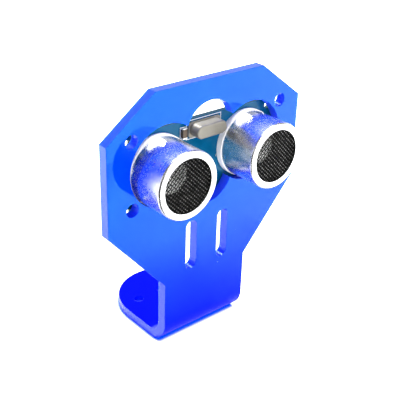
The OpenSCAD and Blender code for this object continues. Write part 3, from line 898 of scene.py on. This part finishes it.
def camera_side_flag():
    """A sloping card on the left in front, where the camera stands: painted shade on that side, seen only
    in reflections.
    """
    out_way, along_way = Vector((-0.65, -0.76, 0)), Vector((-0.76, 0.65, 0))
    # distance out, half its length and height of the lower and of the upper edge
    low_out, low_half, low_z = 0.085, 0.16, 0.002
    high_out, high_half, high_z = 0.20, 0.20, 0.12

    def corner(out, along, z):
        return out_way * out + along_way * along + Vector((0, 0, z))

    def cover(s):
        ends = s.math("MULTIPLY", fade(s, along_way, 0.17, 0.08), fade(s, along_way, -0.17, -0.08))
        return s.math("MULTIPLY", fade(s, (0, 0, 1), high_z, 0.09), ends)

    corners = [corner(low_out, -low_half, low_z), corner(low_out, low_half, low_z),
               corner(high_out, high_half, high_z), corner(high_out, -high_half, high_z)]
    flag("camera_side_flag", corners, cover)


def left_floor_flag():
    """A card on the floor on the left in front, clear of what the sheet itself mirrors to the camera:
    painted shade on the floor there, seen only in reflections.
    """
    level = plate_lo.z + 0.2 * MM
    near, far = plate_lo.y - 16 * MM, plate_lo.y - 96 * MM
    left, right_near, right_far = -0.09, -0.026, 0.042
    inward = Vector((-0.762, -0.648, 0))
    start = inward.dot(Vector((right_near, near, 0)))

    def cover(s):
        return s.math("MULTIPLY", fade(s, inward, start, start + 8 * MM), fade(s, (1, 0, 0), left, -0.06))

    corners = [(left, far, level), (right_far, far, level), (right_near, near, level), (left, near, level)]
    flag("left_floor_flag", corners, cover)


def front_floor_flag():
    """A strip on the floor under and before the bend, fading out forwards: a painted shadow of the bracket,
    seen only in reflections.
    """
    level = plate_lo.z + 0.1 * MM
    near, far, side = plate_lo.y + 4.4 * MM, plate_lo.y - 40 * MM, 50 * MM
    full = plate_lo.y - 6 * MM
    corners = [(-side, far, level), (side, far, level), (side, near, level), (-side, near, level)]
    flag("front_floor_flag", corners, lambda s: fade(s, (0, 1, 0), far, full, 0.75))


floor()
camera_side_flag()
left_floor_flag()
front_floor_flag()


# ---- light and world ------------------------------------------------------------

def softbox(name, direction, distance, size, power, only=()):
    """A square area light turned to the object; where only is given, it lights just those nodes."""
    light = bpy.data.lights.new(name, "AREA")
    light.size = size
    light.energy = power
    obj = bpy.data.objects.new(name, light)
    direction = Vector(direction).normalized()
    obj.location = object_mid + direction * distance
    obj.rotation_euler = direction.to_track_quat("Z", "Y").to_euler()
    scene.collection.objects.link(obj)
    if only:
        lit = bpy.data.collections.new(name + "_lit")
        for node in only:
            lit.objects.link(NODES[node])
        obj.light_linking.receiver_collection = lit


def overhead(direction, strength, spread):
    """A broad even light from above that reaches the whole floor, but not the cans."""
    light = bpy.data.lights.new("overhead_light", "SUN")
    light.energy = strength
    light.angle = math.radians(spread)
    obj = bpy.data.objects.new("overhead_light", light)
    obj.rotation_euler = Vector(direction).to_track_quat("Z", "Y").to_euler()
    scene.collection.objects.link(obj)
    # a receiver collection that only leaves things out keeps all the rest lit
    unlit = bpy.data.collections.new("overhead_light_unlit")
    for node in CANS:
        unlit.objects.link(NODES[node])
    for link in unlit.collection_objects:
        link.light_linking.link_state = "EXCLUDE"
    obj.light_linking.receiver_collection = unlit


def studio_world(strength, horizon, sky):
    """White up to a low height all round, and dim above; each is a place on the ramp and a colour."""
    world = bpy.data.worlds.new("studio")
    world.use_nodes = True
    scene.world = world
    tree = world.node_tree
    shade = tree.nodes["Background"]
    coord = tree.nodes.new("ShaderNodeTexCoord")
    split = tree.nodes.new("ShaderNodeSeparateXYZ")
    ramp = tree.nodes.new("ShaderNodeValToRGB")
    tree.links.new(coord.outputs["Generated"], split.inputs[0])
    tree.links.new(split.outputs["Z"], ramp.inputs["Fac"])
    tree.links.new(ramp.outputs["Color"], shade.inputs["Color"])
    for stop, (place, colour) in zip(ramp.color_ramp.elements, (horizon, sky)):
        stop.position = place
        stop.color = colour
    shade.inputs["Strength"].default_value = strength


BEHIND, ABOVE, BEFORE = (0.33, 0.69, 0.645), (0.10, 0.45, 0.90), (0.15, -0.80, 0.60)
softbox("key_light", BEHIND, distance=0.6, size=0.12, power=1.3, only=CANS)
softbox("top_haze", ABOVE, distance=0.6, size=0.5, power=2.8, only=CANS)
softbox("front_fill", BEFORE, distance=0.8, size=1.0, power=5.8)
overhead(ABOVE, strength=5.0, spread=28)
studio_world(1.06, horizon=(0.30, rgb(1.0, 1.0, 1.0)), sky=(0.46, rgb(0.11, 0.115, 0.125)))

scene.view_settings.view_transform = "Standard"
scene.view_settings.look = "None"
